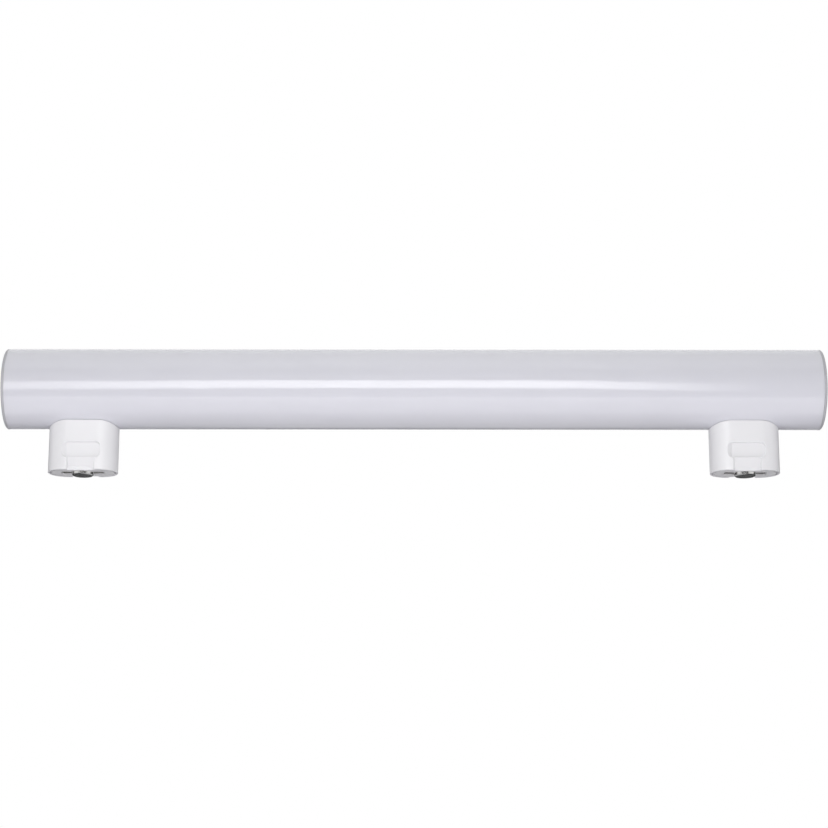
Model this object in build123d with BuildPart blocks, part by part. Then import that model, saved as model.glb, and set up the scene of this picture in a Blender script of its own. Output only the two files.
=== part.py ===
from build123d import *
from math import atan2, degrees
import os

# Double-peg tube lamp. The tube lies along X and the two bases stand down from it. The lamp rests on
# its two contact buttons at Z = 0, with the origin midway between them. All sizes are in millimetres.

# Lamp as a whole
lamp_length = 300.0  # over the two end caps
base_inset = 28.9  # from an end of the lamp to the centre of the base near it
base_drop = 16.8  # from the lowest line of the tube down to the rim of a base

# Tube and end caps
tube_diameter = 29.7
cap_thickness = 1.05
cap_edge = 0.4  # bevel of the outer rim of a cap
seam_edge = 0.15  # fine groove where a cap meets the tube

# Base moulding, an obround peg
base_length = 25.6
base_width = 14.5
base_end_wall = 1.8
base_floor = 2.0  # plastic between the contact pocket and the hollow above it
rim_edge = 0.15  # bevel of the lower outer edge
groove_inset = 0.5  # from the outline of the base in to the groove that runs round its underside
groove_width = 0.9
groove_depth = 1.5
saddle_edge = 0.2  # bevel of the edge that meets the tube
glue_gap = 0.1  # film of glue between the saddle and the tube

# Latch recess on each long side: a deep head with a ramp at its left end, above a neck that slopes in
# towards the rim and opens there
head_width = 13.5
head_height = 5.6
head_corner_radius = 1.8
head_depth = 1.2
ramp_length = 1.7
neck_width = 9.5
neck_height = 4.7
neck_top_depth = 0.45  # at the head
neck_depth = 1.6  # at the rim
latch_edge = 0.35  # bevel round the mouth of the recess
latch_edge_angle = 45.0
wall_behind_head = 1.0  # plastic left between the head and the hollow

# Contact, drawn from sheet
sheet_thickness = 0.5
plate_recess = 0.3  # from the rim up to the face of the plate
plate_gap = 0.3  # room between the plate and the long walls of its pocket
plate_end_gap = 0.4  # room between the plate and the end walls of its pocket
pocket_length = 15.8
pocket_width = 5.2
pocket_corner_radius = 1.0
pocket_middle_diameter = 9.2  # round middle of the pocket, where the button is
button_root_diameter = 8.2
button_face_diameter = 7.6
button_proud = 1.0  # how far the button stands below the rim
button_edge = 0.3  # bevel round the face of the button
leg_width = 3.0
leg_standout = 1.2  # length of a leg above the floor of the hollow
leg_clearance = 0.1
lead_hole_diameter = 3.0

# Heights
rim_height = button_proud
tube_radius = tube_diameter / 2
tube_axis_height = rim_height + base_drop + tube_radius
pocket_depth = plate_recess + sheet_thickness
plate_face_height = rim_height + plate_recess
pocket_floor_height = rim_height + pocket_depth
hollow_floor_height = pocket_floor_height + base_floor
button_height = plate_face_height

# Sizes that follow from the others
tube_length = lamp_length - 2 * cap_thickness
groove_outer_length = base_length - 2 * groove_inset
groove_outer_width = base_width - 2 * groove_inset
groove_inner_length = groove_outer_length - 2 * groove_width
groove_inner_width = groove_outer_width - 2 * groove_width
hollow_length = base_length - 2 * base_end_wall
hollow_width = base_width - 2 * (head_depth + wall_behind_head)
head_mouth_width = head_width + 2 * latch_edge
head_mouth_height = head_height + 2 * latch_edge
head_mouth_corner_radius = head_corner_radius + latch_edge
neck_mouth_width = neck_width + 2 * latch_edge
neck_mouth_height = latch_edge + neck_height + head_height / 2
plate_length = pocket_length - 2 * plate_end_gap
plate_width = pocket_width - 2 * plate_gap
plate_corner_radius = pocket_corner_radius - plate_gap
plate_middle_diameter = pocket_middle_diameter - 2 * plate_gap
leg_offset = (plate_length - sheet_thickness) / 2
leg_length = base_floor + leg_standout
leg_slot_length = plate_end_gap + sheet_thickness + leg_clearance  # reaches the end wall of the pocket
leg_slot_width = leg_width + 2 * leg_clearance
leg_slot_offset = (pocket_length - leg_slot_length) / 2
button_taper = degrees(atan2(button_root_diameter - button_face_diameter, 2 * button_height))

os.makedirs("parts", exist_ok=True)
sides = {"left": -1, "right": 1}

# Sealed opal tube between the two end caps
with BuildPart() as tube:
    with BuildSketch(Plane.YZ.offset(-tube_length / 2)) as tube_section:
        with Locations((0, tube_axis_height)):
            Circle(tube_radius)
    extrude(amount=tube_length)
tube.part.label = "tube"
export_step(tube.part, "parts/tube.step")

# End caps, flat discs with a bevelled rim and a fine groove at the seam
for side_name, side in sides.items():
    seam_plane = Plane(
        origin=(side * tube_length / 2, 0, tube_axis_height), x_dir=(0, 1, 0), z_dir=(side, 0, 0)
    )
    with BuildPart() as end_cap:
        with BuildSketch(seam_plane) as cap_outline:
            Circle(tube_radius)
        extrude(amount=cap_thickness)
        outward = Axis((0, 0, 0), (side, 0, 0))
        inner_rim, outer_rim = end_cap.edges().filter_by(GeomType.CIRCLE).sort_by(outward)
        chamfer(inner_rim, seam_edge)
        chamfer(outer_rim, cap_edge)
    end_cap.part.label = f"end_cap_{side_name}"
    export_step(end_cap.part, f"parts/end_cap_{side_name}.step")

for side_name, side in sides.items():
    base_centre = side * (lamp_length / 2 - base_inset)
    rim_plane = Plane(origin=(base_centre, 0, rim_height))
    pocket_floor_plane = Plane(origin=(base_centre, 0, pocket_floor_height))
    hollow_floor_plane = Plane(origin=(base_centre, 0, hollow_floor_height))
    plate_face_plane = Plane(origin=(base_centre, 0, plate_face_height))

    # Moulded base: obround peg, saddle cut to the tube, hollow, latch recesses, groove and contact pocket
    with BuildPart() as base:
        with BuildSketch(rim_plane) as base_outline:
            SlotOverall(base_length, base_width)
        extrude(amount=tube_axis_height - rim_height)
        with BuildSketch(Plane.YZ.offset(base_centre)) as saddle_section:
            with Locations((0, tube_axis_height)):
                Circle(tube_radius + glue_gap)
        extrude(amount=base_length, both=True, mode=Mode.SUBTRACT)
        saddle = base.faces().filter_by(GeomType.CYLINDER).sort_by(lambda face: face.radius)[-1]
        chamfer(saddle.edges(), saddle_edge)
        chamfer(base.edges().group_by(Axis.Z)[0], rim_edge)
        with BuildSketch(rim_plane) as groove_outline:
            SlotOverall(groove_outer_length, groove_outer_width)
            SlotOverall(groove_inner_length, groove_inner_width, mode=Mode.SUBTRACT)
        extrude(amount=groove_depth, mode=Mode.SUBTRACT)

        with BuildSketch(hollow_floor_plane) as hollow_outline:
            SlotOverall(hollow_length, hollow_width)
        extrude(amount=tube_axis_height - hollow_floor_height, mode=Mode.SUBTRACT)

        for face_side in (-1, 1):
            face_offset = face_side * base_width / 2
            latch_plane = Plane(
                origin=(base_centre, face_offset, rim_height),
                x_dir=(-face_side, 0, 0),
                z_dir=(0, face_side, 0),
            )
            with BuildSketch(latch_plane) as latch_head:
                with Locations((0, neck_height + head_height / 2)):
                    RectangleRounded(head_width, head_height, head_corner_radius)
            extrude(amount=-head_depth, mode=Mode.SUBTRACT)
            with BuildSketch(Plane.YZ.offset(base_centre)) as neck_profile:
                Polygon(
                    (face_offset, rim_height),
                    (face_offset - face_side * neck_depth, rim_height),
                    (face_offset - face_side * neck_top_depth, rim_height + neck_height),
                    (face_offset, rim_height + neck_height),
                    align=None,
                )
            extrude(amount=neck_width / 2, both=True, mode=Mode.SUBTRACT)
            with BuildSketch(latch_plane) as head_mouth:
                with Locations((0, neck_height + head_height / 2)):
                    RectangleRounded(head_mouth_width, head_mouth_height, head_mouth_corner_radius)
            extrude(amount=-latch_edge, taper=latch_edge_angle, mode=Mode.SUBTRACT)
            with BuildSketch(latch_plane) as neck_mouth:
                with Locations((0, -latch_edge)):
                    Rectangle(neck_mouth_width, neck_mouth_height, align=(Align.CENTER, Align.MIN))
            extrude(amount=-latch_edge, taper=latch_edge_angle, mode=Mode.SUBTRACT)
            ramp_plane = Plane(
                origin=(base_centre, face_offset, rim_height + neck_height - latch_edge),
                x_dir=(-face_side, 0, 0),
                z_dir=(0, 0, 1),
            )
            with BuildPart(mode=Mode.PRIVATE) as ramp:
                extrude(head_mouth.sketch, amount=-head_depth)
                with BuildSketch(ramp_plane) as ramp_profile:
                    Polygon(
                        (-head_mouth_width / 2, 0),
                        (-head_mouth_width / 2, head_depth),
                        (ramp_length - head_mouth_width / 2, head_depth),
                        align=None,
                    )
                extrude(amount=head_mouth_height, mode=Mode.INTERSECT)
            add(ramp.part)

        with BuildSketch(rim_plane) as pocket_outline:
            RectangleRounded(pocket_length, pocket_width, pocket_corner_radius)
            Circle(pocket_middle_diameter / 2)
        extrude(amount=pocket_depth, mode=Mode.SUBTRACT)
        with BuildSketch(pocket_floor_plane) as floor_openings:
            Circle(lead_hole_diameter / 2)
            with Locations((-leg_slot_offset, 0), (leg_slot_offset, 0)):
                Rectangle(leg_slot_length, leg_slot_width)
        extrude(amount=base_floor, mode=Mode.SUBTRACT)
    base.part.label = f"base_{side_name}"
    export_step(base.part, f"parts/base_{side_name}.step")

    # Contact: a sheet plate with a drawn hollow button and two legs through the floor
    with BuildPart() as contact:
        with BuildSketch(plate_face_plane) as plate_outline:
            RectangleRounded(plate_length, plate_width, plate_corner_radius)
            Circle(plate_middle_diameter / 2)
        extrude(amount=sheet_thickness)
        with BuildSketch(plate_face_plane) as button_root:
            Circle(button_root_diameter / 2)
        extrude(amount=-button_height, taper=button_taper)
        chamfer(contact.edges().group_by(Axis.Z)[0], button_edge)
        with BuildSketch(pocket_floor_plane) as button_inside:
            Circle(button_root_diameter / 2 - sheet_thickness)
        extrude(amount=-button_height, taper=button_taper, mode=Mode.SUBTRACT)
        with BuildSketch(pocket_floor_plane) as legs:
            with Locations((-leg_offset, 0), (leg_offset, 0)):
                Rectangle(sheet_thickness, leg_width)
        extrude(amount=leg_length)
    contact.part.label = f"contact_{side_name}"
    export_step(contact.part, f"parts/contact_{side_name}.step")
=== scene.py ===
from math import cos, radians, sin

import bpy
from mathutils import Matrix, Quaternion, Vector


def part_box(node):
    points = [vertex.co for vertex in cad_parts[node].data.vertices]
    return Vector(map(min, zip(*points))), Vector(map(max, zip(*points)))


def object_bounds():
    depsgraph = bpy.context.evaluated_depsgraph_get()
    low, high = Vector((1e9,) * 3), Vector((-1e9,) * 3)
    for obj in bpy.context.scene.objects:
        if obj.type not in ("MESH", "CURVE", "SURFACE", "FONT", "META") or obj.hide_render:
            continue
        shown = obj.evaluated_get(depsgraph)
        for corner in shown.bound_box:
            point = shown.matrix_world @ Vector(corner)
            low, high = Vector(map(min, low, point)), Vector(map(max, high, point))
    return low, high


# Double-peg tube lamp, dressed on its solids. Lengths are in metres and powers in watts. Below, the object
# is the tube lamp, and the lamps, cards, sheets and cloths are the studio's.

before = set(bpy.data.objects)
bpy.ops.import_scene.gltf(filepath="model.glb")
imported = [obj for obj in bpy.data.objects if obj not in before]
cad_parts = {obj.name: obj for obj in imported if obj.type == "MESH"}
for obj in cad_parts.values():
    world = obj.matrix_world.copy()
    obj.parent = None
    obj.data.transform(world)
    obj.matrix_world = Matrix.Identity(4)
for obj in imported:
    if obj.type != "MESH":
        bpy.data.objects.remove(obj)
cad_low, cad_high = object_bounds()

# Places read from the frame
tube_low, tube_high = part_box("tube")
tube_axis_height = (tube_low.z + tube_high.z) / 2
base_low, base_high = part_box("base_right")
base_centre = (base_low.x + base_high.x) / 2
floor_height = cad_low.z
sides = {"left": -1, "right": 1}

# Camera: in front of the object and below it, looking up along +Y
image_size = 828
focal_pixels = 2117
sensor_width = 36.0  # millimetres, the camera's own unit
camera_distance = 0.780
camera_pitch = radians(13.5)
camera_roll = radians(0.06)
aim_below_axis = 0.00925

# Even light from all round, and the white background
white = (1, 1, 1, 1)
sky_strength = 0.44
background_strength = 1.0

# Front softbox, only mirrored: a bright stripe in the tube that fades and bends down towards both ends
softbox_front = -0.40
softbox_height = 0.155
softbox_spine = [(-0.42, -0.031), (-0.09, 0.036), (0.025, 0.044), (0.095, 0.038), (0.205, -0.046)]  # X and Z
softbox_left_full = -0.06  # the fade to the left end starts here
softbox_right_full = 0.08  # the fade to the right end starts here
softbox_strength = 5.4

# Key lamp in front of the object, not mirrored
key_lamp_place = Vector((-0.03, -0.65, 0.19))
key_lamp_size = 0.30
key_lamp_power = 0.975
key_lamp_spread = radians(120)

# Weak lamps overhead, high in front and at each side, of which only the overhead one is mirrored
overhead_place = Vector((0, 0, 0.45))
overhead_size = 0.50
overhead_power = 0.15
front_lamp_place = Vector((0, -0.50, 0.50))
front_lamp_size = 0.40
front_lamp_power = 0.08
side_lamp_place = Vector((0.50, 0.10, 0.03))
side_lamp_size = 0.30
side_lamp_power = 0.22

# White sheet behind the object, not mirrored
sheet_strength = 1.8
sheet_back = 0.75
sheet_reach = 0.70
sheet_low = -0.05
sheet_high = 0.90

# Fill card in front of the object and below it, brighter from its bend to its front edge
fill_colour = (1.0, 0.99, 1.015, 1)
fill_strength = 1.25
fill_edge_strength = 2.0
fill_near = 0.016
fill_bend = 0.23
fill_far = 0.352
fill_reach = 0.60
fill_height = -0.215

# Card straight below the object, level with the fill card and not mirrored
under_card_strength = 0.10
under_card_reach = 0.30
under_card_back = 0.08

# Card below and behind the object, only mirrored, along the lower edge of the tube
edge_card_strength = 0.8
edge_card_reach = 0.22
edge_card_fade = 0.16
edge_card_back = 0.50
edge_card_height = -0.215

# Dark cloths below the object, in front behind the softbox, and at both sides
cloth_tone = (0.14, 0.14, 0.14, 1)
cloth_height = -0.22
cloth_front = -0.80
cloth_front_top = 0.95
cloth_back = 2.0
cloth_side = 0.55
cloth_side_front = 0.05
cloth_side_top = 0.60

# Floor, which turns white between the start and the end of its fade
floor_reach = 8.0
floor_gap = 0.0002
floor_fade_start = 0.22
floor_fade_end = 0.62
floor_glow = 0.10
floor_tones = (0.80, 0.82)

# Lamp high overhead that lights the floor alone, so that the object's shadow shows there
floor_lamp_place = Vector((0, 0, 1.0))
floor_lamp_size = 0.70
floor_lamp_power = 2.4

# Noises, each with its cells per metre along X, Y and Z, and the range that most of their values lie in
floor_grain = {"cells": (400, 400, 400), "detail": 3.0}
opal_clouds = {"cells": (60, 90, 90), "detail": 2.0}
opal_lines = {"cells": (8, 900, 900), "detail": 3.0}
cap_grain = {"cells": (2500, 2500, 2500), "detail": 2.0}
cap_clouds = {"cells": (150, 150, 150), "detail": 2.0}
base_grain = {"cells": (4500, 4500, 4500), "detail": 2.0}
base_clouds = {"cells": (120, 120, 120), "detail": 1.0}
contact_marks = {"cells": (300, 9000, 9000), "detail": 3.0}
contact_spots = {"cells": (900, 900, 900), "detail": 4.0}
noise_low = 0.3
noise_high = 0.7

# Opal tube
plastic_ior = 1.5  # of the caps and bases too
opal_colours = ((0.745, 0.745, 0.80, 1), (0.775, 0.775, 0.83, 1))
opal_roughness = (0.06, 0.11)
opal_relief = {"strength": 0.08, "depth": 0.00002}
opal_scatter_share = 0.5
opal_scatter_radius = (1.0, 1.0, 1.0)  # the same for red, green and blue
opal_scatter_depth = 0.0012

# End caps, with rings whose share in the relief is added to the grain. Their mid grey is partly the caps' own
# grey plastic and partly painted shade for the shade on their narrow rims
cap_grey_and_painted_shade = ((0.48, 0.48, 0.51, 1), (0.52, 0.52, 0.55, 1))
cap_roughness = (0.34, 0.46)
cap_relief = {"strength": 0.15, "depth": 0.00003}
cap_ring_scale = 220.0
cap_ring_distortion = 0.6
cap_ring_share = 0.35

# Bases
base_colours = ((0.835, 0.832, 0.85, 1), (0.865, 0.862, 0.88, 1))
base_roughness = (0.36, 0.44)
base_relief = {"strength": 0.12, "depth": 0.00002}

# Contacts, with the radii of the button about the middle of a base
plate_colours = ((0.66, 0.65, 0.63, 1), (0.76, 0.75, 0.73, 1))
button_colours = ((0.24, 0.24, 0.25, 1), (0.36, 0.36, 0.37, 1))
worn_colour = (0.48, 0.48, 0.48, 1)
contact_roughness = (0.14, 0.26)
contact_relief = {"strength": 0.2, "depth": 0.00001}
button_face_radius = 0.0038
button_root_radius = 0.0041
wear_radius = 0.85 * button_face_radius


def feed(tree, socket, value):
    """Links an input socket to the output of a node, or sets it to a plain value."""
    if isinstance(value, bpy.types.NodeSocket):
        tree.links.new(value, socket)
    else:
        socket.default_value = value


def new_node(tree, kind, settings=None, **values):
    """Adds a node, sets its properties and feeds its input sockets by name."""
    node = tree.nodes.new(kind)
    for name, value in (settings or {}).items():
        setattr(node, name, value)
    for name, value in values.items():
        feed(tree, node.inputs[name.replace("_", " ")], value)
    return node


def new_math(tree, operation, *terms):
    """Works out one value from its terms, each a number or the output of a node."""
    node = new_node(tree, "ShaderNodeMath", {"operation": operation})
    for socket, term in zip(node.inputs, terms):
        feed(tree, socket, term)
    return node.outputs[0]


def new_place(tree):
    """The place of a surface point in the shared frame."""
    return tree.nodes.new("ShaderNodeTexCoord").outputs["Object"]


def new_axes(tree, place):
    """The X, Y and Z of a place."""
    return new_node(tree, "ShaderNodeSeparateXYZ", Vector=place).outputs


def new_distance(tree, place):
    """How far a place is from the origin."""
    return new_node(tree, "ShaderNodeVectorMath", {"operation": "LENGTH"}, Vector=place).outputs["Value"]


def new_noise(tree, place, cells, detail):
    """Noise with so many cells per metre along X, Y and Z."""
    mapping = new_node(tree, "ShaderNodeMapping", Vector=place, Scale=cells)
    noise = new_node(tree, "ShaderNodeTexNoise", Vector=mapping.outputs["Vector"], Scale=1.0, Detail=detail)
    return noise.outputs["Fac"]


def new_range(tree, source, from_low, from_high, to_low, to_high):
    """Carries a value smoothly from one range into another."""
    carry = new_node(
        tree,
        "ShaderNodeMapRange",
        {"interpolation_type": "SMOOTHSTEP"},
        Value=source,
        From_Min=from_low,
        From_Max=from_high,
        To_Min=to_low,
        To_Max=to_high,
    )
    return carry.outputs["Result"]


def new_blend(tree, share, first, second):
    """Blends two colours. A Mix node takes its colours at inputs 6 and 7 and gives theirs at output 2."""
    blend = new_node(tree, "ShaderNodeMix", {"data_type": "RGBA"})
    feed(tree, blend.inputs[0], share)
    feed(tree, blend.inputs[6], first)
    feed(tree, blend.inputs[7], second)
    return blend.outputs[2]


def new_bump(tree, height, strength, depth):
    bump = new_node(tree, "ShaderNodeBump", Height=height, Strength=strength, Distance=depth)
    return bump.outputs["Normal"]


def new_glow(tree, colour, strength):
    return new_node(tree, "ShaderNodeEmission", Color=colour, Strength=strength).outputs[0]


def mix_shaders(tree, share, first, second):
    mix = tree.nodes.new("ShaderNodeMixShader")
    for socket, value in zip(mix.inputs, (share, first, second)):
        feed(tree, socket, value)
    return mix.outputs[0]


def new_material(name):
    """A node material with no nodes yet, and its tree."""
    material = bpy.data.materials.new(name)
    material.use_nodes = True
    material.node_tree.nodes.clear()
    return material, material.node_tree


def set_surface(tree, shader):
    """Makes a shader the surface of its material."""
    new_node(tree, "ShaderNodeOutputMaterial", Surface=shader)


def add_camera():
    camera_data = bpy.data.cameras.new("camera")
    camera_data.sensor_fit = "HORIZONTAL"
    camera_data.sensor_width = sensor_width
    camera_data.lens = focal_pixels / image_size * sensor_width
    camera = bpy.data.objects.new("camera", camera_data)
    ahead = Vector((0, cos(camera_pitch), sin(camera_pitch)))
    target = Vector((0, 0, tube_axis_height - aim_below_axis))
    camera.location = target - ahead * camera_distance
    camera.rotation_mode = "QUATERNION"
    camera.rotation_quaternion = Quaternion(ahead, -camera_roll) @ ahead.to_track_quat("-Z", "Y")
    bpy.context.scene.collection.objects.link(camera)
    bpy.context.scene.camera = camera


def add_world():
    """Even soft light from all round; the camera and mirror-like surfaces see plain white."""
    world = bpy.data.worlds.new("studio")
    bpy.context.scene.world = world
    world.use_nodes = True
    tree = world.node_tree
    tree.nodes.clear()
    sky = new_node(tree, "ShaderNodeBackground", Color=white, Strength=sky_strength)
    background = new_node(tree, "ShaderNodeBackground", Color=white, Strength=background_strength)
    path = tree.nodes.new("ShaderNodeLightPath").outputs
    seen = new_math(tree, "MAXIMUM", path["Is Camera Ray"], path["Is Glossy Ray"])
    shown = new_math(tree, "MAXIMUM", seen, path["Is Transmission Ray"])
    surface = mix_shaders(tree, shown, sky.outputs[0], background.outputs[0])
    new_node(tree, "ShaderNodeOutputWorld", Surface=surface)


def add_card(name, corners, material):
    """A studio card that the camera doesn't see; its corners run round a flat outline."""
    mesh = bpy.data.meshes.new(name)
    mesh.from_pydata(corners, [], [tuple(range(len(corners)))])
    mesh.materials.append(material)
    card = bpy.data.objects.new(name, mesh)
    bpy.context.scene.collection.objects.link(card)
    card.visible_camera = False
    card.visible_shadow = False
    return card


def add_upright_card(name, reach, depth, low, high, material):
    corners = [(-reach, depth, low), (-reach, depth, high), (reach, depth, high), (reach, depth, low)]
    return add_card(name, corners, material)


def add_level_card(name, reach, front, back, height, material):
    corners = [(-reach, front, height), (reach, front, height), (reach, back, height), (-reach, back, height)]
    return add_card(name, corners, material)


def glow_material(name, strength):
    material, tree = new_material(name)
    set_surface(tree, new_glow(tree, white, strength))
    return material


def softbox_material():
    """A glowing sheet that fades slowly to its left end and quickly to its right end."""
    material, tree = new_material("softbox_sheet")
    across = new_axes(tree, new_place(tree))["X"]
    rise = new_range(tree, across, softbox_spine[0][0], softbox_left_full, 0, softbox_strength)
    fall = new_range(tree, across, softbox_right_full, softbox_spine[-1][0], 1, 0)
    set_surface(tree, new_glow(tree, white, new_math(tree, "MULTIPLY", rise, fall)))
    return material


def fill_material():
    """A glowing card that is brighter along the edge that lies furthest in front of the object."""
    material, tree = new_material("fill_sheet")
    depth = new_axes(tree, new_place(tree))["Y"]
    level = new_range(tree, depth, -fill_far, -fill_bend, fill_edge_strength, fill_strength)
    set_surface(tree, new_glow(tree, fill_colour, level))
    return material


def edge_card_material():
    """A glowing card that fades along X towards its two ends."""
    material, tree = new_material("edge_sheet")
    distance = new_math(tree, "ABSOLUTE", new_axes(tree, new_place(tree))["X"])
    fade_start = edge_card_reach - edge_card_fade
    level = new_range(tree, distance, fade_start, edge_card_reach, edge_card_strength, 0)
    set_surface(tree, new_glow(tree, white, level))
    return material


def cloth_material():
    material, tree = new_material("dark_cloth")
    set_surface(tree, new_node(tree, "ShaderNodeBsdfDiffuse", Color=cloth_tone).outputs[0])
    return material


def floor_material():
    """Pale matt floor that glows a little, shows from above only and turns white away from the object."""
    material, tree = new_material("pale_floor")
    place = new_place(tree)
    tone = new_range(tree, new_noise(tree, place, **floor_grain), 0, 1, *floor_tones)
    matt = new_node(tree, "ShaderNodeBsdfDiffuse", Color=tone)
    pale = tree.nodes.new("ShaderNodeAddShader")
    feed(tree, pale.inputs[0], matt.outputs[0])
    feed(tree, pale.inputs[1], new_glow(tree, white, floor_glow))
    fade = new_range(tree, new_distance(tree, place), floor_fade_start, floor_fade_end, 0, 1)
    upper_side = mix_shaders(tree, fade, pale.outputs[0], new_glow(tree, white, background_strength))
    from_below = tree.nodes.new("ShaderNodeNewGeometry").outputs["Backfacing"]
    clear = tree.nodes.new("ShaderNodeBsdfTransparent").outputs[0]
    set_surface(tree, mix_shaders(tree, from_below, upper_side, clear))
    return material


def add_area_lamp(name, place, size, power, mirrored=False):
    """A square lamp that points at the middle of the tube."""
    lamp_data = bpy.data.lights.new(name, "AREA")
    lamp_data.shape = "SQUARE"
    lamp_data.size = size
    lamp_data.energy = power
    lamp = bpy.data.objects.new(name, lamp_data)
    lamp.location = place
    aim = Vector((0, 0, tube_axis_height)) - place
    lamp.rotation_mode = "QUATERNION"
    lamp.rotation_quaternion = aim.to_track_quat("-Z", "Y")
    lamp.visible_camera = False
    lamp.visible_glossy = mirrored
    bpy.context.scene.collection.objects.link(lamp)
    return lamp


def add_softbox():
    """The front softbox: highest in its middle part, and lower towards both ends."""
    half_height = softbox_height / 2
    top = [(across, softbox_front, height + half_height) for across, height in softbox_spine]
    bottom = [(across, softbox_front, height - half_height) for across, height in reversed(softbox_spine)]
    softbox = add_card("softbox", top + bottom, softbox_material())
    softbox.visible_diffuse = False


def add_cards():
    """The white sheet behind the object and the cards below it."""
    sheet = glow_material("white_sheet", sheet_strength)
    back = add_upright_card("back_sheet", sheet_reach, sheet_back, sheet_low, sheet_high, sheet)
    back.visible_glossy = False
    add_level_card("fill_card", fill_reach, -fill_far, -fill_near, fill_height, fill_material())
    under = add_level_card(
        "under_card",
        under_card_reach,
        -fill_near,
        under_card_back,
        fill_height,
        glow_material("under_sheet", under_card_strength),
    )
    under.visible_glossy = False
    edge_glow = edge_card_material()
    edge_card = add_level_card("edge_card", edge_card_reach, 0, edge_card_back, edge_card_height, edge_glow)
    edge_card.visible_diffuse = False


def add_lamps():
    """The overhead lamp, the key lamp, the lamp high in front and one lamp at each side."""
    add_area_lamp("overhead_lamp", overhead_place, overhead_size, overhead_power, mirrored=True)
    key_lamp = add_area_lamp("key_lamp", key_lamp_place, key_lamp_size, key_lamp_power)
    key_lamp.data.spread = key_lamp_spread
    add_area_lamp("front_lamp", front_lamp_place, front_lamp_size, front_lamp_power)
    for side_name, side in sides.items():
        place = Vector((side * side_lamp_place.x, side_lamp_place.y, side_lamp_place.z))
        add_area_lamp("side_lamp_" + side_name, place, side_lamp_size, side_lamp_power)


def add_cloths():
    cloth = cloth_material()
    add_level_card("cloth_below", cloth_side, cloth_front, cloth_back, cloth_height, cloth)
    add_upright_card("cloth_front", cloth_side, cloth_front, cloth_height, cloth_front_top, cloth)
    for side_name, side in sides.items():
        wall = [
            (side * cloth_side, cloth_side_front, cloth_height),
            (side * cloth_side, cloth_back, cloth_height),
            (side * cloth_side, cloth_back, cloth_side_top),
            (side * cloth_side, cloth_side_front, cloth_side_top),
        ]
        add_card("cloth_" + side_name, wall, cloth)


def add_floor():
    """The floor that the object stands on, which takes its shadow, and the lamp for the floor alone."""
    height = floor_height - floor_gap
    floor = add_level_card("floor", floor_reach, -floor_reach, floor_reach, height, floor_material())
    floor.visible_camera = True
    floor.visible_diffuse = False
    floor.visible_glossy = False
    floor.visible_transmission = False

    floor_only = bpy.data.collections.new("floor_only")
    floor_only.objects.link(floor)
    floor_lamp = add_area_lamp("floor_lamp", floor_lamp_place, floor_lamp_size, floor_lamp_power)
    floor_lamp.light_linking.receiver_collection = floor_only


def opal_material():
    """Glossy opal tube: a slightly cloudy cool white with faint lines along its length."""
    material, tree = new_material("opal_tube_skin")
    place = new_place(tree)
    clouds = new_noise(tree, place, **opal_clouds)
    lines = new_noise(tree, place, **opal_lines)
    shader = new_node(
        tree,
        "ShaderNodeBsdfPrincipled",
        Base_Color=new_blend(tree, clouds, *opal_colours),
        Roughness=new_range(tree, lines, noise_low, noise_high, *opal_roughness),
        Normal=new_bump(tree, lines, **opal_relief),
        IOR=plastic_ior,
        Subsurface_Weight=opal_scatter_share,
        Subsurface_Radius=opal_scatter_radius,
        Subsurface_Scale=opal_scatter_depth,
    )
    set_surface(tree, shader.outputs[0])
    return material


def cap_material():
    """Satin moulded cap with fine grain and faint turning rings about the tube's axis; its mid grey is partly
    its own tone and partly painted shade.
    """
    material, tree = new_material("cap_plastic_skin")
    place = new_place(tree)
    grain = new_noise(tree, place, **cap_grain)
    clouds = new_noise(tree, place, **cap_clouds)
    centred = new_node(tree, "ShaderNodeMapping", Vector=place, Location=(0, 0, -tube_axis_height))
    rings = new_node(
        tree,
        "ShaderNodeTexWave",
        {"wave_type": "RINGS", "rings_direction": "X"},
        Vector=centred.outputs["Vector"],
        Scale=cap_ring_scale,
        Distortion=cap_ring_distortion,
    )
    height = new_math(tree, "MULTIPLY_ADD", rings.outputs["Fac"], cap_ring_share, grain)
    shader = new_node(
        tree,
        "ShaderNodeBsdfPrincipled",
        # The cap colours are darker than the tube and bases: partly the caps' own grey, partly painted shade
        Base_Color=new_blend(tree, clouds, *cap_grey_and_painted_shade),
        Roughness=new_range(tree, grain, noise_low, noise_high, *cap_roughness),
        Normal=new_bump(tree, height, **cap_relief),
        IOR=plastic_ior,
    )
    set_surface(tree, shader.outputs[0])
    return material


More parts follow.
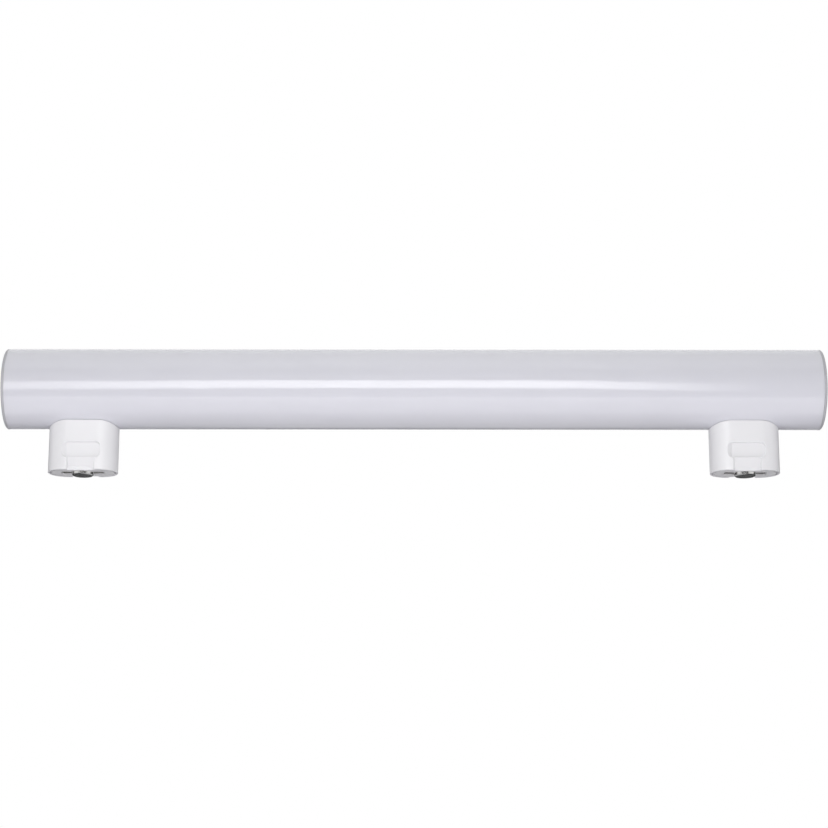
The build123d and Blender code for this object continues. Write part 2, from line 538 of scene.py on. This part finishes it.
def base_material():
    """White moulded plastic with a fine eroded grain and slight clouds of tone."""
    material, tree = new_material("base_plastic_skin")
    place = new_place(tree)
    grain = new_noise(tree, place, **base_grain)
    clouds = new_noise(tree, place, **base_clouds)
    shader = new_node(
        tree,
        "ShaderNodeBsdfPrincipled",
        Base_Color=new_blend(tree, clouds, *base_colours),
        Roughness=new_range(tree, grain, noise_low, noise_high, *base_roughness),
        Normal=new_bump(tree, grain, **base_relief),
        IOR=plastic_ior,
    )
    set_surface(tree, shader.outputs[0])
    return material


def contact_material():
    """Nickel plate with rolling marks; the button is dull and dark, worn bright round its face."""
    material, tree = new_material("contact_metal_skin")
    place = new_place(tree)
    marks = new_noise(tree, place, **contact_marks)
    spots = new_noise(tree, place, **contact_spots)
    axes = new_axes(tree, place)
    along = new_math(tree, "SUBTRACT", new_math(tree, "ABSOLUTE", axes["X"]), base_centre)
    about_button = new_node(tree, "ShaderNodeCombineXYZ", X=along, Y=axes["Y"])
    distance = new_distance(tree, about_button.outputs[0])
    plate_share = new_range(tree, distance, button_face_radius, button_root_radius, 0, 1)
    wear = new_range(tree, distance, wear_radius, button_face_radius, 0, 1)
    plate = new_blend(tree, spots, *plate_colours)
    button = new_blend(tree, wear, new_blend(tree, spots, *button_colours), worn_colour)
    shader = new_node(
        tree,
        "ShaderNodeBsdfPrincipled",
        Base_Color=new_blend(tree, plate_share, button, plate),
        Roughness=new_range(tree, marks, noise_low, noise_high, *contact_roughness),
        Normal=new_bump(tree, marks, **contact_relief),
        Metallic=1.0,
    )
    set_surface(tree, shader.outputs[0])
    return material


def dress(node_names, material):
    """Gives the solids of some nodes their material."""
    for name in node_names:
        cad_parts[name].material_slots[0].material = material


bpy.context.scene.view_settings.view_transform = "Standard"
add_camera()
add_world()
add_softbox()
add_cards()
add_lamps()
add_cloths()
add_floor()
dress(["tube"], opal_material())
dress(["end_cap_left", "end_cap_right"], cap_material())
dress(["base_left", "base_right"], base_material())
dress(["contact_left", "contact_right"], contact_material())
